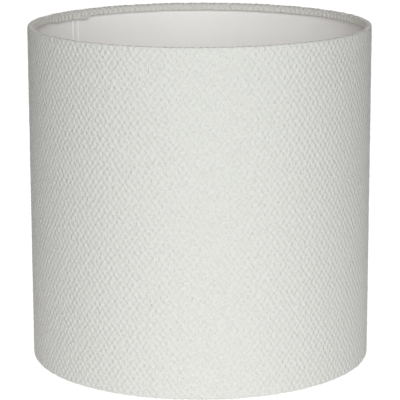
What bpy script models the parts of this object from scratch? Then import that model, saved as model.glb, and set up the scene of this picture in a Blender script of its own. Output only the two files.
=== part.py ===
"""Cylinder lamp shade: a lined fabric tube on two wire rings, with a three-arm carrier at the bottom.

Metres, +Z up. The shade stands on its bottom rim at z = 0, with its axis on Z.
"""

import math

import bmesh
import bpy

# Driving dimensions of the shade.
SHADE_DIAMETER = 0.350
SHADE_HEIGHT = 0.345
HEM_DEPTH = 0.008  # from the rim's crest to the turned-in edge of the fabric
FABRIC_THICKNESS = 0.0007
LINER_THICKNESS = 0.0004
TAPE_THICKNESS = 0.0002
SEAM_ANGLE = math.radians(140)  # the liner's joint, counted from +X towards +Y
SEAM_STRIP_WIDTH = 0.008
RING_WIRE_DIAMETER = 0.0024

# Driving dimensions of the lampholder carrier.
SPOKE_COUNT = 3
SPOKE_WIRE_DIAMETER = 0.003
FIRST_SPOKE_ANGLE = math.radians(90)
HUB_SEAT_HEIGHT = 0.025  # underside of the hub, above the bottom rim
HUB_HOLE_DIAMETER = 0.0425
HUB_FLAT_WIDTH = 0.0055
HUB_SHEET_THICKNESS = 0.0012
HUB_SKIRT_DEPTH = 0.006
HUB_SKIRT_FLARE = 0.0004
REDUCER_HOLE_DIAMETER = 0.029
REDUCER_FLANGE_THICKNESS = 0.0015
REDUCER_FLANGE_OVERLAP = 0.0032  # how far the flange reaches past the edge of the hub's hole

# Clearances.
GAP = 0.0003  # between pieces that touch on the real object
LINER_EDGE_CLEARANCE = 0.0005  # from the ring down to the liner's edge
TAPE_EDGE_INSET = 0.0003  # from the hem's edge to the tape's edge
HEM_LANDING_SHARE = 1.4  # fold radii from the ring's middle to where the hem lies flat
EDGE_BREAK = 0.0004  # bevel on the edges of the plastic ring

# Mesh fineness.
SHADE_STEPS = 72
RING_WIRE_SIDES = 12
HUB_STEPS = 48
SPOKE_CURVE_STEPS = 16
SPOKE_BEVEL_STEPS = 4
SLIT_SIDES = 16
MERGE_DISTANCE = 0.00005
FOLD_ANGLES = (0, 15, 45, 75, 105, 135, 165, 195, 215)  # degrees round the ring, from outside over the crest
CREST_EDGE_ANGLE = math.radians(75)  # the crest is the flat between 75 and 105 degrees

# Radii worked out from outside inwards.
SHADE_RADIUS = SHADE_DIAMETER / 2
LINER_OUTER_RADIUS = SHADE_RADIUS - FABRIC_THICKNESS - GAP
LINER_INNER_RADIUS = LINER_OUTER_RADIUS - LINER_THICKNESS
TAPE_OUTER_RADIUS = LINER_INNER_RADIUS - GAP
TAPE_INNER_RADIUS = TAPE_OUTER_RADIUS - TAPE_THICKNESS
HEM_RADIUS = TAPE_INNER_RADIUS - GAP - FABRIC_THICKNESS  # the hem's face towards the lamp

# The fold of fabric round each wire ring.
RING_WIRE_RADIUS = RING_WIRE_DIAMETER / 2
FOLD_RADIUS = RING_WIRE_RADIUS + GAP + FABRIC_THICKNESS
RING_RADIUS = SHADE_RADIUS - FOLD_RADIUS
CREST_RISE = FOLD_RADIUS * math.sin(CREST_EDGE_ANGLE)
BOTTOM_RING_Z = CREST_RISE
TOP_RING_Z = SHADE_HEIGHT - CREST_RISE

# Heights from a crest, the same at the top and at the bottom.
LINER_EDGE = CREST_RISE + RING_WIRE_RADIUS + LINER_EDGE_CLEARANCE
HEM_TAPE_START = LINER_EDGE + LINER_EDGE_CLEARANCE
HEM_TAPE_END = HEM_DEPTH - TAPE_EDGE_INSET
HEM_LANDING = CREST_RISE + HEM_LANDING_SHARE * FOLD_RADIUS

# The hub, and what seats on it.
HUB_HOLE_RADIUS = HUB_HOLE_DIAMETER / 2
HUB_FLAT_RADIUS = HUB_HOLE_RADIUS + HUB_FLAT_WIDTH
HUB_RADIUS = HUB_FLAT_RADIUS + HUB_SHEET_THICKNESS
HUB_TOP_Z = HUB_SEAT_HEIGHT + HUB_SHEET_THICKNESS
HUB_SKIRT_Z = HUB_TOP_Z - HUB_SKIRT_DEPTH
REDUCER_HOLE_RADIUS = REDUCER_HOLE_DIAMETER / 2
REDUCER_SPIGOT_RADIUS = HUB_HOLE_RADIUS - GAP
REDUCER_FLANGE_RADIUS = HUB_HOLE_RADIUS + REDUCER_FLANGE_OVERLAP

# The spokes: each runs from the bottom ring to the middle of the hub's skirt.
SPOKE_RADIUS = SPOKE_WIRE_DIAMETER / 2
SPOKE_OUTER_END = RING_RADIUS - RING_WIRE_RADIUS - GAP
SPOKE_INNER_END = HUB_RADIUS + HUB_SKIRT_FLARE + GAP
SPOKE_INNER_Z = (HUB_TOP_Z + HUB_SKIRT_Z) / 2
SPOKE_OUTER_HANDLE = 0.34  # share of the span that each end runs level
SPOKE_INNER_HANDLE = 0.30
SLIT_RADIUS = SPOKE_RADIUS + GAP  # the slit in the hem that each spoke comes through
SLIT_CUTTER_REACH = 3 * FOLD_RADIUS  # how far the cutter runs past the hem's face


def clear_scene():
    for obj in list(bpy.data.objects):
        bpy.data.objects.remove(obj, do_unlink=True)


def new_collection(name):
    collection = bpy.data.collections.new(name)
    bpy.context.scene.collection.children.link(collection)
    return collection


def new_material(name, colour, roughness, metallic=0.0):
    material = bpy.data.materials.new(name)
    material.use_nodes = True
    shader = material.node_tree.nodes["Principled BSDF"]
    shader.inputs["Base Color"].default_value = (*colour, 1.0)
    shader.inputs["Roughness"].default_value = roughness
    shader.inputs["Metallic"].default_value = metallic
    material.diffuse_color = (*colour, 1.0)
    return material


def new_object(name, data, collection, material=None):
    obj = bpy.data.objects.new(name, data)
    collection.objects.link(obj)
    if material:
        data.materials.append(material)
    return obj


def facet_point(radius, angle, steps=SHADE_STEPS):
    """The point at this angle on the side of a regular polygon whose corners lie on the radius."""
    step = 2 * math.pi / steps
    off_middle = angle % step - step / 2
    reach = radius * math.cos(step / 2) / math.cos(off_middle)
    return reach * math.cos(angle), reach * math.sin(angle)


def add_turned(name, profile, steps, collection, material, closed=True):
    """A profile of (radius, z) points at +X, turned once round Z. It runs down the outer side."""
    mesh = bpy.data.meshes.new(name)
    outline = bmesh.new()
    corners = [outline.verts.new((radius, 0, z)) for radius, z in profile]
    for first, second in zip(corners, corners[1:]):
        outline.edges.new((first, second))
    if closed:
        outline.edges.new((corners[-1], corners[0]))
    outline.to_mesh(mesh)
    outline.free()
    obj = new_object(name, mesh, collection, material)
    screw = obj.modifiers.new("Turn", "SCREW")
    screw.axis = "Z"
    screw.angle = 2 * math.pi
    screw.steps = screw.render_steps = steps
    screw.use_merge_vertices = True
    screw.merge_threshold = MERGE_DISTANCE
    screw.use_smooth_shade = True
    return obj


def fold_profile(crest_z, inwards):
    """The fabric's outer skin round one ring, from the outer wall over the crest to the hem's edge.

    inwards is the direction in z from the crest to the middle of the shade: -1 at the top, 1 at the bottom.
    """
    ring_z = crest_z + inwards * CREST_RISE
    points = []
    for degrees in FOLD_ANGLES:
        angle = math.radians(degrees)
        radius = RING_RADIUS + FOLD_RADIUS * math.cos(angle)
        points.append((radius, ring_z - inwards * FOLD_RADIUS * math.sin(angle)))
    points.append((HEM_RADIUS, crest_z + inwards * HEM_LANDING))
    points.append((HEM_RADIUS, crest_z + inwards * HEM_DEPTH))
    return points


def add_fabric_cover(collection, cutters, material):
    """One sheet of fabric round the outside, turned over both rings, with a slit in the hem at each spoke."""
    top = fold_profile(SHADE_HEIGHT, -1)
    bottom = fold_profile(0, 1)
    cover = add_turned("fabric_cover", top[::-1] + bottom, SHADE_STEPS, collection, material, closed=False)
    thicken = cover.modifiers.new("Fabric thickness", "SOLIDIFY")
    thicken.thickness = FABRIC_THICKNESS
    thicken.offset = -1
    thicken.use_even_offset = True
    slits = cover.modifiers.new("Slits for the spokes", "BOOLEAN")
    slits.operation = "DIFFERENCE"
    slits.solver = "EXACT"
    slits.operand_type = "COLLECTION"
    slits.collection = cutters
    return cover


def add_slit_cutters(cutters):
    """A round cutter along the outer end of each spoke, which stops inside the ring."""
    inner_end = HEM_RADIUS - SLIT_CUTTER_REACH
    length = SPOKE_OUTER_END + GAP - inner_end
    for number, angle in enumerate(spoke_angles(), start=1):
        mesh = bpy.data.meshes.new(f"slit_cutter_{number}")
        shape = bmesh.new()
        bmesh.ops.create_cone(
            shape,
            cap_ends=True,
            segments=SLIT_SIDES,
            radius1=SLIT_RADIUS,
            radius2=SLIT_RADIUS,
            depth=length,
        )
        shape.to_mesh(mesh)
        shape.free()
        cutter = new_object(f"slit_cutter_{number}", mesh, cutters)
        reach = inner_end + length / 2
        cutter.location = (reach * math.cos(angle), reach * math.sin(angle), BOTTOM_RING_Z)
        cutter.rotation_euler = (0, math.pi / 2, angle)
        cutter.hide_render = True
        cutter.display_type = "WIRE"


def add_curved_strip(name, radii, start_angle, end_angle, heights, collection, material):
    """A flat strip bent round Z: its plan is a band with a corner at every step of the shade."""
    outer_radius, inner_radius = radii
    low_z, high_z = heights
    step = 2 * math.pi / SHADE_STEPS
    first = math.floor(start_angle / step) + 1
    last = math.ceil(end_angle / step)
    angles = [start_angle] + [k * step for k in range(first, last)] + [end_angle]
    outline = [facet_point(outer_radius, angle) for angle in angles]
    outline += [facet_point(inner_radius, angle) for angle in reversed(angles)]
    curve = bpy.data.curves.new(name, "CURVE")
    curve.dimensions = "2D"
    curve.fill_mode = "BOTH"
    curve.extrude = (high_z - low_z) / 2
    spline = curve.splines.new("POLY")
    spline.points.add(len(outline) - 1)
    for point, (x, y) in zip(spline.points, outline):
        point.co = (x, y, 0, 1)
    spline.use_cyclic_u = True
    obj = new_object(name, curve, collection, material)
    obj.location.z = (low_z + high_z) / 2
    return obj


def add_liner_panel(collection, material):
    """The plastic sheet inside the fabric, from ring to ring, with its two ends meeting at the seam."""
    half_joint = GAP / 2 / LINER_INNER_RADIUS
    start = SEAM_ANGLE + half_joint
    end = SEAM_ANGLE + 2 * math.pi - half_joint
    heights = (LINER_EDGE, SHADE_HEIGHT - LINER_EDGE)
    radii = (LINER_OUTER_RADIUS, LINER_INNER_RADIUS)
    return add_curved_strip("liner_panel", radii, start, end, heights, collection, material)


def add_seam_strip(collection, material):
    """The strip that joins the liner's ends, between the two hems."""
    half_width = SEAM_STRIP_WIDTH / 2 / TAPE_OUTER_RADIUS
    hem_edge = HEM_DEPTH + GAP
    heights = (hem_edge, SHADE_HEIGHT - hem_edge)
    radii = (TAPE_OUTER_RADIUS, TAPE_INNER_RADIUS)
    start = SEAM_ANGLE - half_width
    end = SEAM_ANGLE + half_width
    return add_curved_strip("seam_strip", radii, start, end, heights, collection, material)


def add_hem_tape(name, heights, collection, material):
    """The band of tape between the liner and the turned-in hem."""
    low_z, high_z = heights
    profile = [
        (TAPE_OUTER_RADIUS, high_z),
        (TAPE_OUTER_RADIUS, low_z),
        (TAPE_INNER_RADIUS, low_z),
        (TAPE_INNER_RADIUS, high_z),
    ]
    return add_turned(name, profile, SHADE_STEPS, collection, material)


def add_wire_ring(name, z, collection, material):
    bpy.ops.mesh.primitive_torus_add(
        major_segments=SHADE_STEPS,
        minor_segments=RING_WIRE_SIDES,
        major_radius=RING_RADIUS,
        minor_radius=RING_WIRE_RADIUS,
        location=(0, 0, z),
    )
    ring = bpy.context.object
    ring.name = name
    for owner in list(ring.users_collection):
        owner.objects.unlink(ring)
    collection.objects.link(ring)
    ring.data.materials.append(material)
    ring.data.shade_smooth()
    return ring


def spoke_angles():
    return [FIRST_SPOKE_ANGLE + 2 * math.pi * k / SPOKE_COUNT for k in range(SPOKE_COUNT)]


def add_spoke(number, angle, collection, material):
    """A wire that leaves the bottom ring level, climbs, and meets the hub's skirt level."""
    curve = bpy.data.curves.new(f"spoke_{number}", "CURVE")
    curve.dimensions = "3D"
    curve.bevel_depth = SPOKE_RADIUS
    curve.bevel_resolution = SPOKE_BEVEL_STEPS
    curve.use_fill_caps = True
    curve.resolution_u = SPOKE_CURVE_STEPS
    span = SPOKE_OUTER_END - SPOKE_INNER_END
    ends = (
        (SPOKE_OUTER_END, BOTTOM_RING_Z, -SPOKE_OUTER_HANDLE * span),
        (SPOKE_INNER_END, SPOKE_INNER_Z, -SPOKE_INNER_HANDLE * span),
    )
    spline = curve.splines.new("BEZIER")
    spline.bezier_points.add(1)
    for point, (radius, z, handle) in zip(spline.bezier_points, ends):
        point.handle_left_type = "ALIGNED"
        point.handle_right_type = "ALIGNED"
        point.co = (radius, 0, z)
        point.handle_left = (radius - handle, 0, z)
        point.handle_right = (radius + handle, 0, z)
    spoke = new_object(f"spoke_{number}", curve, collection, material)
    spoke.rotation_euler.z = angle
    return spoke


def add_hub_ring(collection, material):
    """A pressed ring: a flat round the lampholder's hole, and a skirt that the spokes are welded to."""
    profile = [
        (HUB_HOLE_RADIUS, HUB_TOP_Z),
        (HUB_RADIUS - HUB_SHEET_THICKNESS / 2, HUB_TOP_Z),
        (HUB_RADIUS, HUB_TOP_Z - HUB_SHEET_THICKNESS / 2),
        (HUB_RADIUS + HUB_SKIRT_FLARE, HUB_SKIRT_Z),
        (HUB_FLAT_RADIUS + HUB_SKIRT_FLARE, HUB_SKIRT_Z),
        (HUB_FLAT_RADIUS, HUB_SEAT_HEIGHT),
        (HUB_HOLE_RADIUS, HUB_SEAT_HEIGHT),
    ]
    return add_turned("hub_ring", profile, HUB_STEPS, collection, material)


def add_reducer_ring(collection, material):
    """A loose plastic ring: its flange lies on the hub, and its spigot fills the hub's hole."""
    seat_z = GAP
    top_z = seat_z + REDUCER_FLANGE_THICKNESS
    spigot_z = HUB_SEAT_HEIGHT - HUB_TOP_Z
    profile = [
        (REDUCER_HOLE_RADIUS, top_z),
        (REDUCER_FLANGE_RADIUS - EDGE_BREAK, top_z),
        (REDUCER_FLANGE_RADIUS, top_z - EDGE_BREAK),
        (REDUCER_FLANGE_RADIUS, seat_z),
        (REDUCER_SPIGOT_RADIUS, seat_z),
        (REDUCER_SPIGOT_RADIUS, spigot_z + EDGE_BREAK),
        (REDUCER_SPIGOT_RADIUS - EDGE_BREAK, spigot_z),
        (REDUCER_HOLE_RADIUS, spigot_z),
    ]
    ring = add_turned("reducer_ring", profile, HUB_STEPS, collection, material)
    ring.location.z = HUB_TOP_Z
    return ring


def main():
    clear_scene()
    shade = new_collection("lamp_shade")
    cutters = new_collection("cutters")

    fabric = new_material("off_white_fabric", (0.72, 0.72, 0.69), roughness=0.9)
    liner = new_material("white_liner", (0.83, 0.82, 0.81), roughness=0.35)
    clear_tape = new_material("clear_tape", (0.85, 0.84, 0.82), roughness=0.3)
    steel = new_material("white_coated_steel", (0.8, 0.8, 0.79), roughness=0.35)
    plastic = new_material("white_plastic", (0.82, 0.82, 0.8), roughness=0.4)

    add_slit_cutters(cutters)
    add_fabric_cover(shade, cutters, fabric)
    add_liner_panel(shade, liner)
    add_seam_strip(shade, clear_tape)
    top_tape = (SHADE_HEIGHT - HEM_TAPE_END, SHADE_HEIGHT - HEM_TAPE_START)
    add_hem_tape("bottom_hem_tape", (HEM_TAPE_START, HEM_TAPE_END), shade, clear_tape)
    add_hem_tape("top_hem_tape", top_tape, shade, clear_tape)
    add_wire_ring("bottom_ring", BOTTOM_RING_Z, shade, steel)
    add_wire_ring("top_ring", TOP_RING_Z, shade, steel)
    for number, angle in enumerate(spoke_angles(), start=1):
        add_spoke(number, angle, shade, steel)
    add_hub_ring(shade, steel)
    add_reducer_ring(shade, plastic)


main()
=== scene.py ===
"""Cylinder lamp shade: woven fabric over a white liner, on wire rings, with a three-arm carrier below.

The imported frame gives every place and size. This script gives the pieces their real surfaces.
"""

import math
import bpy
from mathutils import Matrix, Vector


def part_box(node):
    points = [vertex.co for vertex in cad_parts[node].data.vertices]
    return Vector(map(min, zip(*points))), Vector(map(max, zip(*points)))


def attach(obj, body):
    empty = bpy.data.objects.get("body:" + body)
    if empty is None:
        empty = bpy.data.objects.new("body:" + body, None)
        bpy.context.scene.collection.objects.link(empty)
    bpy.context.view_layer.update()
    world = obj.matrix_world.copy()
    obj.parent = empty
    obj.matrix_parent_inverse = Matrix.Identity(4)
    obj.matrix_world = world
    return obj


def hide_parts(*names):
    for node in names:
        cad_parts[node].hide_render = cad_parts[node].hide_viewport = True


bl_info = {
    "name": "Cylinder lamp shade",
    "version": (1, 0, 0),
    "blender": (4, 5, 0),
    "location": "3D View > Sidebar > Lamp shade",
    "description": "Dresses the frame of a fabric lamp shade: weave, hem, liner, wire and stage",
    "category": "Add Mesh",
}

import bmesh
import bpy
from mathutils import Matrix, Vector, noise

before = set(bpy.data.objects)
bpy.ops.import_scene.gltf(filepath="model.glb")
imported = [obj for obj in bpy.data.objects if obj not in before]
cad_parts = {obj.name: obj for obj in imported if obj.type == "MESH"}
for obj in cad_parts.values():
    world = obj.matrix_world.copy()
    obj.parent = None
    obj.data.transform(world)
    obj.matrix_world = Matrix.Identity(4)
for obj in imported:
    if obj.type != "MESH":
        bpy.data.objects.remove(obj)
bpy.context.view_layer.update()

MM = 0.001
TURN = 2 * math.pi

# Places that come from the frame.
COVER_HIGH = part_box("fabric_cover")[1]
RING_LOW, RING_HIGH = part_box("bottom_ring")
TAPE_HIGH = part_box("bottom_hem_tape")[1]
LINER_LOW, LINER_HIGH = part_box("liner_panel")
STRIP_LOW, STRIP_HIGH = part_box("seam_strip")
SPOKE_LOW, SPOKE_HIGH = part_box("spoke_1")
HUB_LOW, HUB_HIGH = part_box("hub_ring")
REDUCER_LOW, REDUCER_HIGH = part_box("reducer_ring")

SHADE_RADIUS = COVER_HIGH.x
SHADE_HEIGHT = COVER_HIGH.z
WIRE_RADIUS = (RING_HIGH.z - RING_LOW.z) / 2
RING_RADIUS = RING_HIGH.x - WIRE_RADIUS
RING_DEPTH = (RING_HIGH.z + RING_LOW.z) / 2  # from a rim's crest to the middle of its ring
CREST_LENGTH = 5.5 * MM  # cloth lying over a rim before it turns down as the hem

# Thin things, as the frame has them.
FABRIC_THICKNESS = 0.7 * MM
LINER_THICKNESS = 0.4 * MM
TAPE_THICKNESS = 0.2 * MM
HUB_SHEET_THICKNESS = 1.2 * MM
GAP = 0.3 * MM
HEM_DEPTH = TAPE_HIGH.z + GAP

# The weave: 162 grains fit round the shade, and the rows of grains are staggered by half.
GRAINS_ROUND = 162
GRAIN_WIDTH = TURN * SHADE_RADIUS / GRAINS_ROUND
GRAIN_HEIGHT = 9.35 * MM
COLUMNS_PER_GRAIN = 4
ROWS_PER_GRAIN = 3
COLUMNS = GRAINS_ROUND * COLUMNS_PER_GRAIN
ROW_STEP = GRAIN_HEIGHT / ROWS_PER_GRAIN

# How far apart the weave's uneven places are.
WANDER_RADIUS = 14  # of the circle on which the rows' wander is read, in patches of 12 mm
WANDER_SIZE = 12 * MM
HEM_WANDER_SIZE = 17 * MM
SLUB_SIZE = 9 * MM
SLOW_SIZE = 30 * MM
KNOT_SIZE = 4.6 * MM
BUNCH_SIZE = 3.4 * MM

# The seam at the left back. The cloth's free end laps over its start there, and the hem beside it is deeper.
SEAM_ANGLE = math.atan2(STRIP_LOW.y + STRIP_HIGH.y, STRIP_LOW.x + STRIP_HIGH.x)
LAP_COLUMN = 244
LAP_STEP = 0.22 * MM  # width of the step down from the lap's free edge
LAP_EDGE = 0.5 * MM  # a corner closer to the lap's free edge than this is on the step
LAP_FADE = 9 * MM  # how far past its width the lap's thickness runs out
DEEP_HEM_END = 52 * MM  # from the lap's edge to where the deeper hem begins to run out
PLAIN_HEM_START = 69 * MM

# The spokes, and the slits that they come through.
SPOKE_ANGLES = [math.radians(90 + 120 * k) for k in range(3)]
SPOKE_COLUMNS = [round(angle / TURN * COLUMNS) % COLUMNS for angle in SPOKE_ANGLES]
SLIT_START = 0.9 * MM  # how far inside the ring's middle a slit begins
SLIT_CLEARANCE = 0.5 * MM

# The strip over the liner's joint, and the two lines of glue along it.
STRIP_HALF_WIDTH = 4.0 * MM
WIDE_GLUE_PLACE = 4.9 * MM
NARROW_GLUE_PLACE = -3.5 * MM
STRIP_STEPS = 96

# The stage: soft lights with a faint tint, and the camera, which looks at the shade's middle.
LAMP_WHITE = (0.98, 1.0, 0.985)
ROOM_WHITE = (1.0, 0.977, 0.975, 1.0)
BACKGROUND_GLOW = 1.02
GLOW_NEAR = 0.6  # metres from the shade's axis at which the floor's glow begins to fall
GLOW_FAR = 1.3
CAMERA_ELEVATION = math.radians(12.32)
CAMERA_DISTANCE = 2.0293
CAMERA_LENS = 176.1
CAMERA_SHIFT = -0.0296
CAMERA_ROLL = -0.0028


def hex_to_linear(code):
    """An sRGB hex colour as linear red, green, blue and alpha."""
    channels = [int(code[i : i + 2], 16) / 255 for i in (1, 3, 5)]
    linear = [c / 12.92 if c <= 0.04045 else ((c + 0.055) / 1.055) ** 2.4 for c in channels]
    return (*linear, 1.0)


def smooth_step(value, start, end):
    share = min(max((value - start) / (end - start), 0.0), 1.0)
    return share * share * (3 - 2 * share)


# ---------------------------------------------------------------- settings


class FabricSettings(bpy.types.PropertyGroup):
    grain_colour: bpy.props.FloatVectorProperty(
        name="Grain colour",
        description="The raised grains of the weave",
        subtype="COLOR",
        size=4,
        min=0,
        max=1,
        default=hex_to_linear("#D7D8D5"),
    )
    # The hollows' colour is darker than the grains': painted shade in the weave's hollows.
    hollow_painted_shade_colour: bpy.props.FloatVectorProperty(
        name="Gap colour",
        description="The hollows between the grains",
        subtype="COLOR",
        size=4,
        min=0,
        max=1,
        default=hex_to_linear("#D4D4D0"),
    )
    relief: bpy.props.FloatProperty(
        name="Relief",
        description="Half the height from a hollow to the top of a grain",
        unit="LENGTH",
        precision=5,
        default=0.2 * MM,
    )
    thread_pitch: bpy.props.FloatProperty(
        name="Thread pitch",
        description="From one yarn to the next",
        unit="LENGTH",
        precision=5,
        default=0.85 * MM,
    )
    lap_width: bpy.props.FloatProperty(
        name="Lap width",
        description="How far the fabric's end lies over its start",
        unit="LENGTH",
        precision=4,
        default=12 * MM,
    )
    lap_hem_extra: bpy.props.FloatProperty(
        name="Extra hem at the lap",
        description="How much deeper the turned-in hem is beside the lap",
        unit="LENGTH",
        precision=4,
        default=1.8 * MM,
    )


class LinerSettings(bpy.types.PropertyGroup):
    sheet_colour: bpy.props.FloatVectorProperty(
        name="Sheet colour",
        description="The plastic sheet inside the fabric",
        subtype="COLOR",
        size=4,
        min=0,
        max=1,
        default=hex_to_linear("#E2E0DF"),
    )
    glue_colour: bpy.props.FloatVectorProperty(
        name="Glue colour",
        description="The lines of set glue along the joining strip",
        subtype="COLOR",
        size=4,
        min=0,
        max=1,
        default=hex_to_linear("#F2F1EF"),
    )
    glue_width: bpy.props.FloatProperty(
        name="Glue width",
        description="Width of each line of glue",
        unit="LENGTH",
        precision=4,
        default=2.3 * MM,
    )
    glue_height: bpy.props.FloatProperty(
        name="Glue height",
        description="How far a line of glue stands up from the strip",
        unit="LENGTH",
        precision=5,
        default=0.35 * MM,
    )


class CarrierSettings(bpy.types.PropertyGroup):
    steel_colour: bpy.props.FloatVectorProperty(
        name="Steel colour",
        description="The powder coat on the wire and the hub",
        subtype="COLOR",
        size=4,
        min=0,
        max=1,
        default=hex_to_linear("#E6E6E3"),
    )
    plastic_colour: bpy.props.FloatVectorProperty(
        name="Plastic colour",
        description="The loose reducer ring",
        subtype="COLOR",
        size=4,
        min=0,
        max=1,
        default=hex_to_linear("#EAEAE6"),
    )
    hub_hole_radius: bpy.props.FloatProperty(
        name="Hub hole radius",
        description="The hole that an E27 lampholder's shade ring clamps round",
        unit="LENGTH",
        precision=5,
        default=21.25 * MM,
    )
    reducer_hole_radius: bpy.props.FloatProperty(
        name="Reducer hole radius",
        description="The smaller hole that the reducer leaves",
        unit="LENGTH",
        precision=5,
        default=14.5 * MM,
    )
    weld_radius: bpy.props.FloatProperty(
        name="Weld radius",
        description="Radius of the bead where a spoke meets the hub",
        unit="LENGTH",
        precision=5,
        default=2.1 * MM,
    )


class StageSettings(bpy.types.PropertyGroup):
    floor_radius: bpy.props.FloatProperty(
        name="Floor radius",
        description="The pale floor round the shade",
        unit="LENGTH",
        default=14.0,
    )
    floor_glow: bpy.props.FloatProperty(
        name="Floor brightness",
        description="How bright the white floor looks",
        min=0,
        default=1.06,
    )
    near_glow: bpy.props.FloatProperty(
        name="Glow beside the shade",
        description="Light that the lit table round the shade sends up",
        min=0,
        default=0.87,
    )
    far_glow: bpy.props.FloatProperty(
        name="Far glow",
        description="Light from the rest of the floor",
        min=0,
        default=0.15,
    )
    room_light: bpy.props.FloatProperty(
        name="Room light",
        description="Soft light from all round",
        min=0,
        default=0.2,
    )
    key_power: bpy.props.FloatProperty(
        name="Key light",
        description="Power of the large soft light at the front",
        min=0,
        default=58.5,
    )
    back_power: bpy.props.FloatProperty(
        name="Back light",
        description="Power of the soft light behind the shade",
        min=0,
        default=36.0,
    )
    top_power: bpy.props.FloatProperty(
        name="Top light",
        description="Power of the soft light above",
        min=0,
        default=2.2,
    )


SETTINGS = {
    "shade_fabric": FabricSettings,
    "shade_liner": LinerSettings,
    "shade_carrier": CarrierSettings,
    "shade_stage": StageSettings,
}


# ---------------------------------------------------------------- materials


def add_node(tree, kind, inputs=None, **settings):
    """Adds a node. Each of its inputs is given a value, or another node's output to link from."""
    made = tree.nodes.new("ShaderNode" + kind)
    for name, value in settings.items():
        setattr(made, name, value)
    for name, value in (inputs or {}).items():
        if isinstance(value, bpy.types.NodeSocket):
            tree.links.new(value, made.inputs[name])
        else:
            made.inputs[name].default_value = value
    return made


def new_material(name):
    """A material with only its output node, and its node tree."""
    material = bpy.data.materials.new(name)
    material.use_nodes = True
    material.node_tree.nodes.clear()
    return material, material.node_tree


def close_material(material, tree, shader_inputs):
    """Adds the shader with its settings and links it to the output."""
    shader = add_node(tree, "BsdfPrincipled", shader_inputs)
    add_node(tree, "OutputMaterial", {"Surface": shader.outputs[0]})
    material.diffuse_color = (0.8, 0.8, 0.78, 1.0)
    return material


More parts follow.
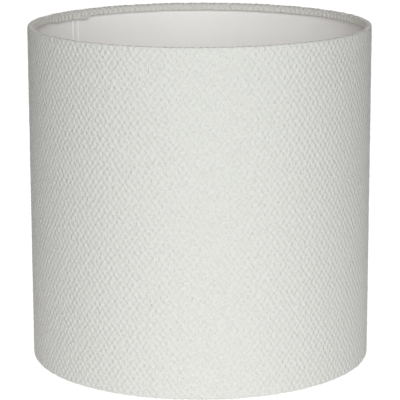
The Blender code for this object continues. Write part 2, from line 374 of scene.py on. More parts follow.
def woven_fabric(settings):
    """Slubby polyester and linen cloth, woven in staggered grains.

    Matt, with plump pale grains between hollows painted darker as shade, painted shade on the crests, hems
    and knots, and a soft nap at grazing angles.
    """
    material, tree = new_material("woven_slub_fabric")
    weave = add_node(tree, "UVMap", uv_map="weave").outputs[0]

    # The yarns wander a little from their straight lines.
    drift = add_node(tree, "TexNoise", {"Vector": weave, "Scale": 1 / (7 * MM), "Detail": 2.0})
    centred = add_node(
        tree, "VectorMath", {0: drift.outputs["Color"], 1: (0.5, 0.5, 0.5)}, operation="SUBTRACT"
    )
    shift = add_node(tree, "VectorMath", {0: centred.outputs[0], "Scale": 5.5 * MM}, operation="SCALE")
    wandering = add_node(tree, "VectorMath", {0: weave, 1: shift.outputs[0]}, operation="ADD")
    place = add_node(tree, "SeparateXYZ", {0: wandering.outputs[0]})

    # Grains: a bulge in every other cell of a chequered lattice.
    across = add_node(tree, "Math", {0: place.outputs["X"], 1: TURN / GRAIN_WIDTH}, operation="MULTIPLY")
    along = add_node(tree, "Math", {0: place.outputs["Y"], 1: TURN / GRAIN_HEIGHT}, operation="MULTIPLY")
    wave_across = add_node(tree, "Math", {0: across.outputs[0]}, operation="COSINE")
    wave_along = add_node(tree, "Math", {0: along.outputs[0]}, operation="COSINE")
    lattice = add_node(
        tree, "Math", {0: wave_across.outputs[0], 1: wave_along.outputs[0]}, operation="MULTIPLY"
    )
    slub = add_node(
        tree, "TexNoise", {"Vector": weave, "Scale": 1 / (4.5 * MM), "Detail": 3.0, "Roughness": 0.6}
    )
    slub_height = add_node(
        tree,
        "MapRange",
        {"Value": slub.outputs["Fac"], "From Min": 0.25, "From Max": 0.75, "To Min": -0.75, "To Max": 0.75},
    )
    bulge = add_node(tree, "Math", {0: lattice.outputs[0], 1: slub_height.outputs[0]}, operation="ADD")
    grain = add_node(
        tree,
        "MapRange",
        {"Value": bulge.outputs[0], "From Min": -0.7, "From Max": 0.8},
        interpolation_type="SMOOTHSTEP",
    )

    # Yarns, one over and one under.
    pitch = TURN / settings.thread_pitch
    weft = add_node(tree, "Math", {0: place.outputs["Y"], 1: pitch}, operation="MULTIPLY")
    warp = add_node(tree, "Math", {0: place.outputs["X"], 1: pitch}, operation="MULTIPLY")
    weft_wave = add_node(tree, "Math", {0: weft.outputs[0]}, operation="SINE")
    warp_wave = add_node(tree, "Math", {0: warp.outputs[0]}, operation="SINE")
    yarns = add_node(tree, "Math", {0: weft_wave.outputs[0], 1: warp_wave.outputs[0]}, operation="MULTIPLY")

    # Colour: hollows darker, grains lighter, with slow patches from one reel of yarn to the next. The
    # hollows' darker colour is painted shade.
    patch = add_node(tree, "TexNoise", {"Vector": weave, "Scale": 1 / (38 * MM), "Detail": 2.0})
    tone = add_node(
        tree, "Math", {0: yarns.outputs[0], 1: 0.10, 2: grain.outputs[0]}, operation="MULTIPLY_ADD"
    )
    patched = add_node(
        tree, "Math", {0: patch.outputs["Fac"], 1: 0.35, 2: tone.outputs[0]}, operation="MULTIPLY_ADD"
    )
    level = add_node(tree, "Math", {0: patched.outputs[0], 1: 0.175}, operation="SUBTRACT", use_clamp=True)
    ground = add_node(
        tree,
        "Mix",
        {"Factor": level.outputs[0], "A": settings.hollow_painted_shade_colour, "B": settings.grain_colour},
        data_type="RGBA",
    )
    # Knots and flecks are drawn out along the upright yarns. The flecks' tone follows the knots: partly
    # random yarn tone, partly painted shade in the knots' small hollows.
    drawn_out = add_node(tree, "VectorMath", {0: weave, 1: (1.0, 0.55, 1.0)}, operation="MULTIPLY")
    fleck_and_shade_noise = add_node(
        tree,
        "TexNoise",
        {"Vector": drawn_out.outputs[0], "Scale": 1 / (1.3 * MM), "Detail": 1.0, "Roughness": 0.6},
    )
    fleck_and_shade = add_node(tree, "MapRange", {"Value": fleck_and_shade_noise.outputs["Fac"], "To Min": 0.84, "To Max": 1.16})
    flecked_and_shaded = add_node(
        tree,
        "VectorMath",
        {0: ground.outputs["Result"], "Scale": fleck_and_shade.outputs[0]},
        operation="SCALE",
    )
    # The crest and the turned-in hem are painted darker than the wall as shade: darkest along the crest,
    # where the rim turns away from the light, and less dark and warmer down the hem.
    upright = add_node(tree, "SeparateXYZ", {0: weave})
    height = add_node(tree, "Math", {0: upright.outputs["Y"], 1: SHADE_HEIGHT / 2}, operation="SUBTRACT")
    from_middle = add_node(tree, "Math", {0: height.outputs[0]}, operation="ABSOLUTE")
    crest_shade_mask = add_node(
        tree,
        "MapRange",
        {
            "Value": from_middle.outputs[0],
            "From Min": SHADE_HEIGHT / 2 - 0.7 * MM,
            "From Max": SHADE_HEIGHT / 2 + 0.8 * MM,
        },
    )
    past_crest = add_node(
        tree,
        "MapRange",
        {
            "Value": from_middle.outputs[0],
            "From Min": SHADE_HEIGHT / 2 + CREST_LENGTH,
            "From Max": SHADE_HEIGHT / 2 + CREST_LENGTH + 3.0 * MM,
        },
    )
    # Painted shade: darkest on the crest, lighter and warmer down the hem.
    rim_shade_tint = add_node(
        tree,
        "Mix",
        {"Factor": past_crest.outputs["Result"], "A": (0.81, 0.79, 0.77, 1.0), "B": (0.91, 0.885, 0.87, 1.0)},
        data_type="RGBA",
    )
    painted_rim_shade = add_node(
        tree,
        "Mix",
        {"Factor": crest_shade_mask.outputs["Result"], "A": (1.0, 1.0, 1.0, 1.0), "B": rim_shade_tint.outputs["Result"]},
        data_type="RGBA",
    )
    colour = add_node(
        tree,
        "VectorMath",
        {0: flecked_and_shaded.outputs[0], 1: painted_rim_shade.outputs["Result"]},
        operation="MULTIPLY",
    )

    yarn_bump = add_node(tree, "Bump", {"Height": yarns.outputs[0], "Strength": 0.6, "Distance": 0.05 * MM})
    knots = add_node(
        tree,
        "TexNoise",
        {"Vector": drawn_out.outputs[0], "Scale": 1 / (1.3 * MM), "Detail": 1.5, "Roughness": 0.5},
    )
    knot_bump = add_node(
        tree,
        "Bump",
        {
            "Height": knots.outputs["Fac"],
            "Strength": 1.0,
            "Distance": 0.8 * MM,
            "Normal": yarn_bump.outputs[0],
        },
    )
    grain_bump = add_node(
        tree,
        "Bump",
        {"Height": bulge.outputs[0], "Strength": 1.0, "Distance": 0.30 * MM, "Normal": knot_bump.outputs[0]},
    )
    return close_material(
        material,
        tree,
        {
            "Base Color": colour.outputs[0],
            "Roughness": 0.92,
            "IOR": 1.5,
            "Specular IOR Level": 0.15,
            "Normal": grain_bump.outputs[0],
        },
    )


def calendered_liner(settings):
    """PVC sheet, calendered: satin white, nearly flat, with slow ripples where it is glued to cloth."""
    material, tree = new_material("calendered_pvc_sheet")
    place = add_node(tree, "TexCoord").outputs["Object"]
    ripple = add_node(tree, "TexNoise", {"Vector": place, "Scale": 1 / (45 * MM), "Detail": 2.0})
    skin = add_node(tree, "TexNoise", {"Vector": place, "Scale": 1 / (2.5 * MM), "Detail": 2.0})
    dust = add_node(tree, "TexNoise", {"Vector": place, "Scale": 1 / (16 * MM), "Detail": 4.0})
    shade = add_node(tree, "MapRange", {"Value": dust.outputs["Fac"], "To Min": 0.985, "To Max": 1.015})
    colour = add_node(
        tree,
        "VectorMath",
        {0: settings.sheet_colour[:3], "Scale": shade.outputs[0]},
        operation="SCALE",
    )
    gloss = add_node(tree, "MapRange", {"Value": dust.outputs["Fac"], "To Min": 0.46, "To Max": 0.56})
    ripple_bump = add_node(
        tree, "Bump", {"Height": ripple.outputs["Fac"], "Strength": 1.0, "Distance": 0.5 * MM}
    )
    skin_bump = add_node(
        tree,
        "Bump",
        {
            "Height": skin.outputs["Fac"],
            "Strength": 0.5,
            "Distance": 0.02 * MM,
            "Normal": ripple_bump.outputs[0],
        },
    )
    return close_material(
        material,
        tree,
        {
            "Base Color": colour.outputs[0],
            "Roughness": gloss.outputs[0],
            "IOR": 1.53,
            "Specular IOR Level": 0.35,
            "Normal": skin_bump.outputs[0],
        },
    )


def set_glue(settings):
    """Hot-melt glue, spread and set: glossy, whiter than the sheet, slightly lumpy."""
    material, tree = new_material("set_hot_melt_glue")
    place = add_node(tree, "TexCoord").outputs["Object"]
    lumps = add_node(tree, "TexNoise", {"Vector": place, "Scale": 1 / (3 * MM), "Detail": 2.0})
    shade = add_node(tree, "MapRange", {"Value": lumps.outputs["Fac"], "To Min": 0.96, "To Max": 1.03})
    colour = add_node(
        tree,
        "VectorMath",
        {0: settings.glue_colour[:3], "Scale": shade.outputs[0]},
        operation="SCALE",
    )
    bump = add_node(tree, "Bump", {"Height": lumps.outputs["Fac"], "Strength": 0.6, "Distance": 0.15 * MM})
    return close_material(
        material,
        tree,
        {
            "Base Color": colour.outputs[0],
            "Roughness": 0.28,
            "IOR": 1.48,
            "Subsurface Weight": 0.1,
            "Subsurface Scale": 1 * MM,
            "Normal": bump.outputs[0],
        },
    )


def transfer_tape():
    """Double-sided acrylic tape: clear film over white glue, with fine streaks along the roll."""
    material, tree = new_material("acrylic_transfer_tape")
    place = add_node(tree, "TexCoord").outputs["Object"]
    stretched = add_node(tree, "Mapping", {"Vector": place, "Scale": (60.0, 60.0, 1400.0)})
    streak = add_node(tree, "TexNoise", {"Vector": stretched.outputs[0], "Scale": 1.0, "Detail": 3.0})
    colour = add_node(
        tree,
        "Mix",
        {"Factor": streak.outputs["Fac"], "A": hex_to_linear("#E4E2DC"), "B": hex_to_linear("#F0EEE9")},
        data_type="RGBA",
    )
    bump = add_node(tree, "Bump", {"Height": streak.outputs["Fac"], "Strength": 0.4, "Distance": 0.05 * MM})
    return close_material(
        material,
        tree,
        {"Base Color": colour.outputs["Result"], "Roughness": 0.3, "IOR": 1.47, "Normal": bump.outputs[0]},
    )


def powder_coated_steel(settings):
    """Mild steel, powder coated white: an even satin skin with the fine orange peel of baked powder."""
    material, tree = new_material("powder_coated_steel")
    place = add_node(tree, "TexCoord").outputs["Object"]
    # Real orange peel is about 0.5 mm from crest to crest; it is drawn at 0.9 mm so that it shows.
    peel = add_node(tree, "TexNoise", {"Vector": place, "Scale": 1 / (0.9 * MM), "Detail": 1.0})
    wear = add_node(tree, "TexNoise", {"Vector": place, "Scale": 1 / (7 * MM), "Detail": 3.0})
    shade = add_node(tree, "MapRange", {"Value": wear.outputs["Fac"], "To Min": 0.96, "To Max": 1.03})
    colour = add_node(
        tree,
        "VectorMath",
        {0: settings.steel_colour[:3], "Scale": shade.outputs[0]},
        operation="SCALE",
    )
    gloss = add_node(tree, "MapRange", {"Value": wear.outputs["Fac"], "To Min": 0.32, "To Max": 0.44})
    bump = add_node(tree, "Bump", {"Height": peel.outputs["Fac"], "Strength": 0.6, "Distance": 0.03 * MM})
    return close_material(
        material,
        tree,
        {
            "Base Color": colour.outputs[0],
            "Roughness": gloss.outputs[0],
            "IOR": 1.5,
            "Coat Weight": 0.15,
            "Coat Roughness": 0.25,
            "Normal": bump.outputs[0],
        },
    )


def moulded_polypropylene(settings):
    """Polypropylene, injection moulded: a soft satin white that light enters slightly."""
    material, tree = new_material("moulded_polypropylene")
    place = add_node(tree, "TexCoord").outputs["Object"]
    spark = add_node(tree, "TexNoise", {"Vector": place, "Scale": 1 / (0.7 * MM), "Detail": 2.0})
    flow = add_node(tree, "TexNoise", {"Vector": place, "Scale": 1 / (9 * MM), "Detail": 2.0})
    shade = add_node(tree, "MapRange", {"Value": flow.outputs["Fac"], "To Min": 0.97, "To Max": 1.02})
    colour = add_node(
        tree,
        "VectorMath",
        {0: settings.plastic_colour[:3], "Scale": shade.outputs[0]},
        operation="SCALE",
    )
    gloss = add_node(tree, "MapRange", {"Value": flow.outputs["Fac"], "To Min": 0.38, "To Max": 0.48})
    bump = add_node(tree, "Bump", {"Height": spark.outputs["Fac"], "Strength": 0.5, "Distance": 0.02 * MM})
    return close_material(
        material,
        tree,
        {
            "Base Color": colour.outputs[0],
            "Roughness": gloss.outputs[0],
            "IOR": 1.49,
            "Subsurface Weight": 0.08,
            "Subsurface Scale": 1.5 * MM,
            "Normal": bump.outputs[0],
        },
    )


def dress_node(name, material):
    """Gives a carried-over CAD node its material."""
    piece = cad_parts[name]
    piece.data.materials.clear()
    piece.data.materials.append(material)


# ---------------------------------------------------------------- shapes


def finish_piece(name, shape, materials, body, nodes, sharp_degrees=35):
    """Makes the object of a finished shape, and says which CAD nodes it stands for."""
    mesh = bpy.data.meshes.new(name)
    shape.to_mesh(mesh)
    shape.free()
    for material in materials:
        mesh.materials.append(material)
    mesh.shade_smooth()
    if sharp_degrees:
        mesh.set_sharp_from_angle(angle=math.radians(sharp_degrees))
    piece = bpy.data.objects.new(name, mesh)
    bpy.context.scene.collection.objects.link(piece)
    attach(piece, body)
    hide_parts(*nodes)
    return piece


def turned_shape(profile, steps, angle=TURN):
    """A closed profile of (radius, z) points, spun round Z from +X."""
    shape = bmesh.new()
    corners = [shape.verts.new((radius, 0, z)) for radius, z in profile]
    edges = [shape.edges.new(pair) for pair in zip(corners, corners[1:] + corners[:1])]
    bmesh.ops.spin(
        shape,
        geom=corners + edges,
        cent=(0, 0, 0),
        axis=(0, 0, 1),
        angle=angle,
        steps=steps,
        use_merge=angle == TURN,
    )
    bmesh.ops.recalc_face_normals(shape, faces=shape.faces)
    return shape


def arc(centre, radius, start_degrees, end_degrees, steps):
    """Points along an arc in the (radius, z) plane."""
    points = []
    for k in range(steps + 1):
        angle = math.radians(start_degrees + (end_degrees - start_degrees) * k / steps)
        points.append((centre[0] + radius * math.cos(angle), centre[1] + radius * math.sin(angle)))
    return points


# One rim of the cover in millimetres, as (inset from the wall, depth below the crest). The cloth is thick and
# lofty: it turns sharply at its outer corner, stands off the ring inside, and tucks back under to the tape.
RIM_FACE = (
    (0.0, 2.2),
    (0.08, 1.2),
    (0.35, 0.4),
    (0.95, 0.06),
    (2.2, 0.0),
    (3.9, 0.04),
    (5.3, 0.4),
    (6.2, 1.4),
    (6.9, 3.1),
    (7.3, 5.0),
    (7.65, 6.4),
    (7.6, 7.4),
    (7.0, 8.1),
    (6.0, 8.4),
    (4.6, 8.35),
    (3.2, 8.2),
    (2.3, 8.0),
)
RIM_BACK = (
    (2.3, 7.6),
    (3.2, 7.5),
    (4.6, 7.65),
    (6.0, 7.7),
    (6.6, 7.5),
    (6.92, 7.1),
    (6.95, 6.4),
    (6.65, 5.2),
    (6.22, 3.4),
    (5.6, 1.95),
    (4.9, 1.08),
    (3.8, 0.74),
    (2.2, 0.7),
    (1.4, 0.76),
    (0.9, 1.1),
    (0.72, 1.6),
    (0.7, 2.2),
)


def fold_rows():
    """One rim of the cover, as two lists of (radius, depth below the crest).

    The cloth's face runs from the wall over the ring to the hem's edge, and its back from there to the wall.
    """
    sides = (RIM_FACE, RIM_BACK)
    return [[(SHADE_RADIUS - inset * MM, depth * MM) for inset, depth in side] for side in sides]


class CoverRow:
    """One row of the cover's grid: its place, its distance along the cloth and its part of the cloth."""

    def __init__(self, radius, z, along, part, depth, top):
        self.radius = radius
        self.z = z
        self.along = along
        self.part = part
        self.depth = depth
        self.top = top


def cover_rows():
    """Every row of the closed cover: top hem to wall to bottom hem, and back up the inside of the cloth."""
    face, back = fold_rows()
    wall_top = SHADE_HEIGHT - RING_DEPTH
    rows = []

    along = 0.0
    fold = []
    for index, (radius, depth) in enumerate(face):
        if index:
            last = face[index - 1]
            along += math.hypot(radius - last[0], depth - last[1])
        fold.append((radius, depth, along, "fold" if depth < RING_DEPTH + 1e-6 else "hem"))

    for radius, depth, reach, part in reversed(fold):
        rows.append(CoverRow(radius, SHADE_HEIGHT - depth, wall_top + reach, part, depth, True))
    lowest = math.ceil((RING_DEPTH + 0.3 * ROW_STEP) / ROW_STEP)
    highest = math.floor((wall_top - 0.7 * ROW_STEP) / ROW_STEP)
    for number in range(highest, lowest - 1, -1):
        z = number * ROW_STEP
        rows.append(CoverRow(SHADE_RADIUS, z, z, "wall", min(z, SHADE_HEIGHT - z), z > SHADE_HEIGHT / 2))
    for radius, depth, reach, part in fold:
        rows.append(CoverRow(radius, depth, RING_DEPTH - reach, part, depth, False))
    for radius, depth in back:
        rows.append(CoverRow(radius, depth, depth, "back", depth, False))
    for radius, depth in reversed(back):
        rows.append(CoverRow(radius, SHADE_HEIGHT - depth, SHADE_HEIGHT - depth, "back", depth, True))
    return rows


def zigzag(angle):
    """How far a row of the wall rises here, by up to half a step, so that a row crosses each grain's top."""
    return ROW_STEP / 4 * (1 - math.cos(GRAINS_ROUND * angle))


def lap_distance(angle):
    """Distance round the shade from the cloth's free end, in the direction in which the lap lies."""
    lap_angle = TURN * LAP_COLUMN / COLUMNS
    return ((angle - lap_angle) % TURN) * SHADE_RADIUS


def cover_point(row, column, settings):
    """The place of one corner of the cover's grid, before the weave's relief."""
    angle = TURN * column / COLUMNS
    z = row.z
    radius = row.radius
    round_distance = angle * SHADE_RADIUS
    if row.part == "wall":
        z += zigzag(angle)
    around = (math.cos(angle) * WANDER_RADIUS, math.sin(angle) * WANDER_RADIUS)
    drift = noise.noise_vector(Vector((*around, row.along / WANDER_SIZE)))
    if row.part == "wall":
        z += 0.8 * MM * drift.y * smooth_step(row.depth, 0.0, WANDER_SIZE)

    past_lap = lap_distance(angle)
    if row.part in ("hem", "back") and row.depth > RING_DEPTH + 2 * MM:
        share = smooth_step(row.depth, RING_DEPTH + 2 * MM, HEM_DEPTH)
        extra = settings.lap_hem_extra * (1 - smooth_step(past_lap, DEEP_HEM_END, PLAIN_HEM_START))
        if past_lap < LAP_EDGE:
            extra = 0.0
        lobe = 0.5 * MM * math.exp(-(((past_lap - 5 * MM) / (3 * MM)) ** 2))
        rim = 0.0 if row.top else 40.0
        wander = 0.28 * MM * noise.noise(Vector((round_distance / HEM_WANDER_SIZE, rim, 0.3)))
        deeper = share * (extra + lobe + wander)
        z += -deeper if row.top else deeper

    tangent = 0.6 * MM * drift.x / SHADE_RADIUS
    if column == LAP_COLUMN:
        tangent = 0.0
    if column == LAP_COLUMN + 1:
        tangent = -(TURN / COLUMNS) + LAP_STEP / SHADE_RADIUS
    return radius, angle + tangent, z


def cover_relief(row, column, settings):
    """How far the surface stands from its highest level: the weave's grains, and slubs in the yarn."""
    if row.part == "back":
        return 0.0
    angle = TURN * column / COLUMNS
    round_distance = angle * SHADE_RADIUS
    along = row.along
    if row.part == "wall":
        along += zigzag(angle)
    lattice = math.cos(GRAINS_ROUND * angle) * math.cos(TURN * along / GRAIN_HEIGHT)
    circle = Vector((math.cos(angle), math.sin(angle), 0)) * (SHADE_RADIUS / SLUB_SIZE)
    slub = noise.noise(circle + Vector((0, 0, along / SLUB_SIZE)))
    slow = noise.noise(circle * 0.3 + Vector((7, 3, along / SLOW_SIZE)))
    knot = noise.noise(circle * 1.9 + Vector((2, 11, along / KNOT_SIZE)))
    height = settings.relief * (lattice * (1 + 0.9 * knot) - 1.3 + 0.45 * slub + 0.6 * knot)
    height += 0.08 * MM * (slow - 0.5)
    if row.part == "fold":
        # Over the wire the cloth bunches a little between its grains.
        bunch = noise.noise(Vector((round_distance / BUNCH_SIZE, 9.1 if row.top else 2.7, 0.5)))
        height -= (0.3 + 0.45 * bunch) * MM
    if row.part == "hem":
        height *= 1 - 0.8 * smooth_step(row.depth, HEM_DEPTH - 2 * MM, HEM_DEPTH)
    past_lap = lap_distance(angle)
    if past_lap > LAP_EDGE:
        lap = 1 - smooth_step(past_lap, settings.lap_width, settings.lap_width + LAP_FADE)
        height += FABRIC_THICKNESS * lap * smooth_step(row.depth, 0.5 * MM, 7 * MM)
    return height


def cut_spoke_slits(shape, row_layer, column_layer, first_row, last_row):
    """Opens the bottom hem at each spoke, from the ring to the hem's edge, and closes the cut edges."""
    for middle in SPOKE_COLUMNS:
        columns = (middle - 1, middle, middle + 1)
        corners = {
            (v[column_layer], v[row_layer]): v
            for v in shape.verts
            if v[column_layer] in columns and first_row <= v[row_layer] <= last_row
        }
        inside = [
            face
            for face in {f for v in corners.values() for f in v.link_faces}
            if all((v[column_layer], v[row_layer]) in corners for v in face.verts)
        ]
        bmesh.ops.delete(shape, geom=inside, context="FACES")
        sides = []
        for column in (columns[0], columns[2]):
            ends = [corners[(column, first_row)], corners[(column, last_row)]]
            closing = bmesh.ops.contextual_create(shape, geom=ends)["edges"][0]
            run = [closing]
            for row in range(first_row, last_row):
                pair = (corners[(column, row)], corners[(column, row + 1)])
                run.append(shape.edges.get(pair))
            bmesh.ops.contextual_create(shape, geom=run)
            sides.append(closing)
        floor = list(sides)
        for row in (first_row, last_row):
            for left, right in zip(columns, columns[1:]):
                floor.append(shape.edges.get((corners[(left, row)], corners[(right, row)])))
        bmesh.ops.contextual_create(shape, geom=floor)


def woven_cover_shape(settings):
    """A flat grid of cloth, wrapped round the wall and turned in over both rings."""
    rows = cover_rows()
    shape = bmesh.new()
    row_layer = shape.verts.layers.int.new("row")
    column_layer = shape.verts.layers.int.new("column")
    bmesh.ops.create_grid(shape, x_segments=COLUMNS, y_segments=len(rows), size=1)

    bottom_rows = [n for n, row in enumerate(rows) if not row.top and row.part in ("fold", "hem", "back")]
    cut = [n for n in bottom_rows if rows[n].radius < RING_RADIUS - SLIT_START and rows[n].depth < RING_DEPTH]
    slit_rows = range(min(cut), max(cut) + 1)
    slit_half = (SPOKE_HIGH.x - SPOKE_LOW.x) / 2 + SLIT_CLEARANCE

    for v in shape.verts:
        v[column_layer] = round((v.co.x + 1) / 2 * COLUMNS) % COLUMNS
        v[row_layer] = round((v.co.y + 1) / 2 * len(rows)) % len(rows)
        radius, angle, z = cover_point(rows[v[row_layer]], v[column_layer], settings)
        if v[row_layer] in slit_rows:
            for middle in SPOKE_COLUMNS:
                if abs(v[column_layer] - middle) == 1:
                    side = v[column_layer] - middle
                    angle = TURN * middle / COLUMNS + side * slit_half / radius
                elif v[column_layer] == middle:
                    angle = TURN * middle / COLUMNS
        v.co = (radius * math.cos(angle), radius * math.sin(angle), z)
    rim = [v for v in shape.verts if v.is_boundary]
    bmesh.ops.remove_doubles(shape, verts=rim, dist=0.001 * MM)
    bmesh.ops.recalc_face_normals(shape, faces=shape.faces)

    shape.normal_update()
    moves = [(v, v.normal * cover_relief(rows[v[row_layer]], v[column_layer], settings)) for v in shape.verts]
    for v, move in moves:
        v.co += move

    weave = shape.loops.layers.uv.new("weave")
    for face in shape.faces:
        columns = [loop.vert[column_layer] for loop in face.loops]
        wraps = max(columns) - min(columns) > 1
        for loop, column in zip(face.loops, columns):
            turns = (column if column or not wraps else COLUMNS) / COLUMNS
            row = rows[loop.vert[row_layer]]
            along = row.along
            if row.part == "wall":
                along += zigzag(TURN * turns)
            loop[weave].uv = (turns * TURN * SHADE_RADIUS, along)

    cut_spoke_slits(shape, row_layer, column_layer, min(slit_rows), max(slit_rows))
    for edge in shape.edges:
        on_lap = all(v[column_layer] in (LAP_COLUMN, LAP_COLUMN + 1) for v in edge.verts)
        if on_lap and edge.verts[0][column_layer] == edge.verts[1][column_layer]:
            edge.smooth = False
    return shape


def joining_strip_shape(settings):
    """A thin strip down the liner's joint, with a line of glue along each of its edges."""
    back = TAPE_HIGH.x
    front = back - TAPE_THICKNESS
    half = STRIP_HALF_WIDTH
    # The wide line lies across the strip's edge, down to the liner; the narrow one lies on the strip.
    wide = (WIDE_GLUE_PLACE, settings.glue_width, settings.glue_height, back)
    narrow = (NARROW_GLUE_PLACE, 0.5 * settings.glue_width, 0.6 * settings.glue_height, front)
    outline = [(-half, back), (0, back)]
    for middle, width, height, foot in (wide, narrow):
        for share in (0.0, 0.15, 0.5, 0.85, 1.0):
            base = foot + (front - foot) * share
            outline.append((middle + width * (0.5 - share), base - height * math.sin(math.pi * share)))
        if middle > 0:
            outline.append((0, front))
    outline.append((-half, front))

    count = len(outline)
    length = STRIP_HIGH.z - STRIP_LOW.z
    shape = bmesh.new()
    bmesh.ops.create_grid(shape, x_segments=count, y_segments=STRIP_STEPS, size=1)
    for v in shape.verts:
        index = round((v.co.x + 1) / 2 * count) % count
        share = (v.co.y + 1) / 2
        across, radius = outline[index]
        if radius < front - 0.01 * MM:
            side = 1 if across > 0 else -1
            swell = noise.noise(Vector((share * length / (11 * MM), side * 5.0, 1.0)))
            radius -= 0.16 * MM * swell
            across -= side * 0.25 * MM * swell
        angle = SEAM_ANGLE + across / back
        v.co = (radius * math.cos(angle), radius * math.sin(angle), STRIP_LOW.z + share * length)
    bmesh.ops.remove_doubles(shape, verts=shape.verts, dist=0.001 * MM)
    ends = [edge for edge in shape.edges if edge.is_boundary]
    bmesh.ops.holes_fill(shape, edges=ends, sides=0)
    bmesh.ops.recalc_face_normals(shape, faces=shape.faces)
    for face in shape.faces:
        middle = face.calc_center_median()
        across = (math.atan2(middle.y, middle.x) - SEAM_ANGLE) * back
        face.material_index = 1 if middle.xy.length < front - 0.03 * MM or across > half else 0
    return shape


def spoke_path():
    """Points (radius, z) along a spoke, from the bottom ring up to the hub: level, climbing, level."""
    wire = (SPOKE_HIGH.x - SPOKE_LOW.x) / 2
    outer = Vector((SPOKE_HIGH.y, SPOKE_LOW.z + wire))
    inner = Vector((SPOKE_LOW.y, SPOKE_HIGH.z - wire))
    span = outer.x - inner.x
    handles = (outer, outer - Vector((0.34 * span, 0)), inner + Vector((0.30 * span, 0)), inner)
    points = []
    steps = 40
    for k in range(steps + 1):
        t = k / steps
        weights = ((1 - t) ** 3, 3 * t * (1 - t) ** 2, 3 * t * t * (1 - t), t**3)
        points.append(sum((p * w for p, w in zip(handles, weights)), Vector((0, 0))))
    return points, wire


def spoke_shape(angle, settings):
    """Drawn wire, bent to the path, with a bead of weld where it meets the ring and the hub."""
    path, wire = spoke_path()
    hub_side = HUB_HIGH.x - 0.35 * MM
    ring_side = RING_RADIUS - WIRE_RADIUS + 0.15 * MM
    stations = [
        (Vector((ring_side, path[0].y)), wire * 1.12),
        (Vector((path[0].x - 0.5 * MM, path[0].y)), wire * 1.08),
    ]
    stations += [(point, wire) for point in path[1:-1]]
    weld = settings.weld_radius
    for reach, size in ((1.6, 1.0), (1.1, 1.12), (0.6, 1.3), (0.15, 1.4)):
        radius = min(wire * size, weld)
        stations.append((Vector((hub_side + reach * MM, path[-1].y)), radius))
    stations.append((Vector((hub_side - 0.35 * MM, path[-1].y)), weld))
    stations.sort(key=lambda station: -station[0].x)

    shape = bmesh.new()
    loops = []
    for index, (point, radius) in enumerate(stations):
        before = stations[max(index - 1, 0)][0]
        after = stations[min(index + 1, len(stations) - 1)][0]
        heading = (after - before).normalized()
        tilt = math.atan2(heading.y, -heading.x)
        turn = Matrix.Rotation(angle, 4, "Z") @ Matrix.Translation((point.x, 0, point.y))
        turn = turn @ Matrix.Rotation(tilt, 4, "Y") @ Matrix.Rotation(math.pi / 2, 4, "Y")
        made = bmesh.ops.create_circle(shape, segments=20, radius=radius, matrix=turn)
        loops.append(list({edge for v in made["verts"] for edge in v.link_edges}))
    for first, second in zip(loops, loops[1:]):
        bmesh.ops.bridge_loops(shape, edges=first + second)
    ends = [edge for edge in shape.edges if edge.is_boundary]
    bmesh.ops.holes_fill(shape, edges=ends, sides=0)
    bmesh.ops.recalc_face_normals(shape, faces=shape.faces)
    return shape


def hub_shape(settings):
    """A ring pressed from sheet: a flat round the hole, bent down into a skirt."""
    sheet = HUB_SHEET_THICKNESS
    hole = settings.hub_hole_radius
    top = HUB_HIGH.z
    outer = HUB_HIGH.x - 0.4 * MM
    skirt = HUB_LOW.z
    flare = 0.4 * MM
    bend = 1.9 * MM
    profile = arc((hole + 0.3 * MM, top - 0.3 * MM), 0.3 * MM, 180, 90, 3)
    profile += arc((outer - bend, top - bend), bend, 90, 0, 7)
    profile += arc((outer + flare - 0.25 * MM, skirt + 0.25 * MM), 0.25 * MM, 0, -90, 2)
    profile += arc((outer + flare - sheet + 0.25 * MM, skirt + 0.25 * MM), 0.25 * MM, -90, -180, 2)
    inner_bend = bend - sheet
    profile += arc((outer - bend, top - bend), inner_bend, 0, 90, 5)
    profile += arc((hole + 0.3 * MM, top - sheet + 0.3 * MM), 0.3 * MM, -90, -180, 3)
    return turned_shape(profile, 144)


def reducer_shape(settings):
    """A stepped ring: its flange lies on the hub, and its spigot fills the hub's hole."""
    hole = settings.reducer_hole_radius
    rim = REDUCER_HIGH.x
    top = REDUCER_HIGH.z
    bottom = REDUCER_LOW.z
    seat = HUB_HIGH.z + GAP
    spigot = settings.hub_hole_radius - GAP
    edge = 0.4 * MM
    profile = arc((hole + edge, top - edge), edge, 180, 90, 4)
    profile += arc((rim - edge, top - edge), edge, 90, 0, 4)
    profile += [(rim, seat), (spigot, seat)]
    profile += arc((spigot - edge, bottom + edge), edge, 0, -90, 4)
    profile += arc((hole + edge, bottom + edge), edge, -90, -180, 4)
    return turned_shape(profile, 144)


# ---------------------------------------------------------------- operators


class SHADE_OT_woven_cover(bpy.types.Operator):
    """The cloth cover: wall, turned-in hems, lap and the slits for the spokes"""

    bl_idname = "shade.woven_cover"
    bl_label = "Woven cover"

    def execute(self, context):
        settings = context.scene.shade_fabric
        shape = woven_cover_shape(settings)
        cloth = [woven_fabric(settings)]
        cover = finish_piece("woven_cover", shape, cloth, "shade", ["fabric_cover"], 0)
        return {"FINISHED"}


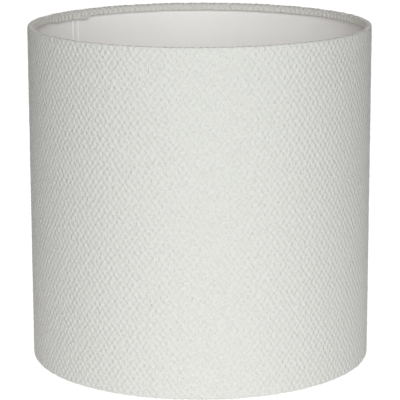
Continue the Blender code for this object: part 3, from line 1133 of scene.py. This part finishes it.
class SHADE_OT_liner(bpy.types.Operator):
    """The plastic sheet inside the cloth, and the strip that joins its two ends"""

    bl_idname = "shade.liner"
    bl_label = "Liner"

    def execute(self, context):
        settings = context.scene.shade_liner
        sheet_material = calendered_liner(settings)
        outer = LINER_HIGH.x
        inner = outer - LINER_THICKNESS
        profile = [(outer, LINER_LOW.z), (outer, LINER_HIGH.z), (inner, LINER_HIGH.z), (inner, LINER_LOW.z)]
        joint = GAP / inner
        shape = turned_shape(profile, 216, TURN - joint)
        ends = [edge for edge in shape.edges if edge.is_boundary]
        bmesh.ops.holes_fill(shape, edges=ends, sides=4)
        bmesh.ops.rotate(
            shape,
            verts=shape.verts,
            cent=(0, 0, 0),
            matrix=Matrix.Rotation(SEAM_ANGLE + joint / 2, 3, "Z"),
        )
        bmesh.ops.recalc_face_normals(shape, faces=shape.faces)
        finish_piece("liner_sheet", shape, [sheet_material], "shade", ["liner_panel"])
        materials = [sheet_material, set_glue(settings)]
        strip = joining_strip_shape(settings)
        finish_piece("joining_strip", strip, materials, "shade", ["seam_strip"], 60)
        return {"FINISHED"}


class SHADE_OT_hem_tapes(bpy.types.Operator):
    """The tape that holds each turned-in hem to the liner"""

    bl_idname = "shade.hem_tapes"
    bl_label = "Hem tapes"

    def execute(self, context):
        tape = transfer_tape()
        dress_node("top_hem_tape", tape)
        dress_node("bottom_hem_tape", tape)
        return {"FINISHED"}


class SHADE_OT_carrier(bpy.types.Operator):
    """The wire rings, the three spokes and the pressed hub"""

    bl_idname = "shade.carrier"
    bl_label = "Rings, spokes and hub"

    def execute(self, context):
        settings = context.scene.shade_carrier
        steel = powder_coated_steel(settings)
        dress_node("top_ring", steel)
        dress_node("bottom_ring", steel)
        for number, angle in enumerate(SPOKE_ANGLES, start=1):
            shape = spoke_shape(angle, settings)
            finish_piece(f"spoke_wire_{number}", shape, [steel], "shade", [f"spoke_{number}"], 60)
        finish_piece("pressed_hub", hub_shape(settings), [steel], "shade", ["hub_ring"])
        return {"FINISHED"}


class SHADE_OT_reducer(bpy.types.Operator):
    """The loose ring that makes the hub's hole smaller"""

    bl_idname = "shade.reducer"
    bl_label = "Reducer ring"

    def execute(self, context):
        settings = context.scene.shade_carrier
        plastic = moulded_polypropylene(settings)
        shape = reducer_shape(settings)
        finish_piece("moulded_reducer", shape, [plastic], "reducer", ["reducer_ring"])
        return {"FINISHED"}


def add_soft_light(name, power, size, place, target, colour=(1.0, 1.0, 1.0)):
    """A rectangular soft light that faces a point."""
    light = bpy.data.lights.new(name, "AREA")
    light.shape = "RECTANGLE"
    light.size, light.size_y = size
    light.energy = power
    light.color = colour
    lamp = bpy.data.objects.new(name, light)
    bpy.context.scene.collection.objects.link(lamp)
    lamp.location = place
    lamp.rotation_euler = (Vector(target) - Vector(place)).to_track_quat("-Z", "Y").to_euler()
    return lamp


class SHADE_OT_stage(bpy.types.Operator):
    """The pale floor, the soft lights and the camera"""

    bl_idname = "shade.stage"
    bl_label = "Stage"

    def execute(self, context):
        settings = context.scene.shade_stage
        self.add_floor(settings)
        self.light_room(context.scene, settings)
        self.add_camera(context.scene)
        return {"FINISHED"}

    def add_floor(self, settings):
        material, tree = new_material("lit_white_table")
        place = add_node(tree, "TexCoord").outputs["Object"]
        distance = add_node(tree, "VectorMath", {0: place}, operation="LENGTH")
        near = add_node(
            tree,
            "MapRange",
            {
                "Value": distance.outputs["Value"],
                "From Min": GLOW_NEAR,
                "From Max": GLOW_FAR,
                "To Min": settings.near_glow,
                "To Max": settings.far_glow,
            },
            interpolation_type="SMOOTHSTEP",
        )
        ray = add_node(tree, "LightPath")
        strength = add_node(
            tree,
            "Mix",
            {"Factor": ray.outputs["Is Camera Ray"], "A": near.outputs["Result"], "B": settings.floor_glow},
        )
        glow = add_node(tree, "Emission", {"Color": ROOM_WHITE, "Strength": strength.outputs["Result"]})
        add_node(tree, "OutputMaterial", {"Surface": glow.outputs[0]})
        shape = bmesh.new()
        bmesh.ops.create_circle(shape, cap_ends=True, segments=96, radius=settings.floor_radius)
        bmesh.ops.translate(shape, verts=shape.verts, vec=(0, 0, -0.05 * MM))
        mesh = bpy.data.meshes.new("floor")
        shape.to_mesh(mesh)
        shape.free()
        mesh.materials.append(material)
        floor = bpy.data.objects.new("floor", mesh)
        bpy.context.scene.collection.objects.link(floor)

    def light_room(self, scene, settings):
        world = bpy.data.worlds.new("white_room")
        world.use_nodes = True
        tree = world.node_tree
        tree.nodes.clear()
        seen = add_node(tree, "Background", {"Color": (1.0, 1.0, 1.0, 1.0), "Strength": BACKGROUND_GLOW})
        room = add_node(tree, "Background", {"Color": ROOM_WHITE, "Strength": settings.room_light})
        ray = add_node(tree, "LightPath")
        mixed = add_node(
            tree, "MixShader", {0: ray.outputs["Is Camera Ray"], 1: room.outputs[0], 2: seen.outputs[0]}
        )
        add_node(tree, "OutputWorld", {"Surface": mixed.outputs[0]})
        scene.world = world
        middle = (0, 0, SHADE_HEIGHT / 2)
        add_soft_light("front_softbox", settings.key_power, (1.5, 1.2), (0.17, -2.6, 1.0), middle, LAMP_WHITE)
        add_soft_light("back_softbox", settings.back_power, (1.2, 1.2), (0.3, 2.6, 1.1), middle)
        add_soft_light("top_softbox", settings.top_power, (0.7, 0.7), (-0.3, 0.0, 1.5), middle)

    def add_camera(self, scene):
        target = Vector((0, 0, SHADE_HEIGHT / 2))
        away = Vector((0, -math.cos(CAMERA_ELEVATION), math.sin(CAMERA_ELEVATION)))
        place = target + CAMERA_DISTANCE * away
        lens = bpy.data.cameras.new("camera")
        lens.lens = CAMERA_LENS
        lens.sensor_width = 36.0
        lens.shift_y = CAMERA_SHIFT
        lens.clip_start = 0.05
        lens.clip_end = 60.0
        camera = bpy.data.objects.new("camera", lens)
        scene.collection.objects.link(camera)
        aim = (target - place).to_track_quat("-Z", "Y").to_matrix().to_4x4()
        camera.matrix_world = Matrix.Translation(place) @ aim @ Matrix.Rotation(CAMERA_ROLL, 4, "Z")
        scene.camera = camera
        scene.view_settings.view_transform = "Standard"


class SHADE_PT_pieces(bpy.types.Panel):
    """The lamp shade's settings and the operators that build it"""

    bl_idname = "SHADE_PT_pieces"
    bl_label = "Lamp shade"
    bl_space_type = "VIEW_3D"
    bl_region_type = "UI"
    bl_category = "Lamp shade"

    def draw(self, context):
        layout = self.layout
        for owner, group in SETTINGS.items():
            box = layout.box()
            for name in group.__annotations__:
                box.prop(getattr(context.scene, owner), name)
        for operator in PIECES:
            layout.operator(operator.bl_idname)


PIECES = (
    SHADE_OT_woven_cover,
    SHADE_OT_liner,
    SHADE_OT_hem_tapes,
    SHADE_OT_carrier,
    SHADE_OT_reducer,
    SHADE_OT_stage,
)


def register():
    for owner, group in SETTINGS.items():
        bpy.utils.register_class(group)
        setattr(bpy.types.Scene, owner, bpy.props.PointerProperty(type=group))
    for part in (*PIECES, SHADE_PT_pieces):
        bpy.utils.register_class(part)


def unregister():
    for part in reversed((*PIECES, SHADE_PT_pieces)):
        bpy.utils.unregister_class(part)
    for owner, group in reversed(SETTINGS.items()):
        delattr(bpy.types.Scene, owner)
        bpy.utils.unregister_class(group)


def main():
    register()
    bpy.ops.shade.woven_cover()
    bpy.ops.shade.liner()
    bpy.ops.shade.hem_tapes()
    bpy.ops.shade.carrier()
    bpy.ops.shade.reducer()
    bpy.ops.shade.stage()


if __name__ == "__main__":
    main()
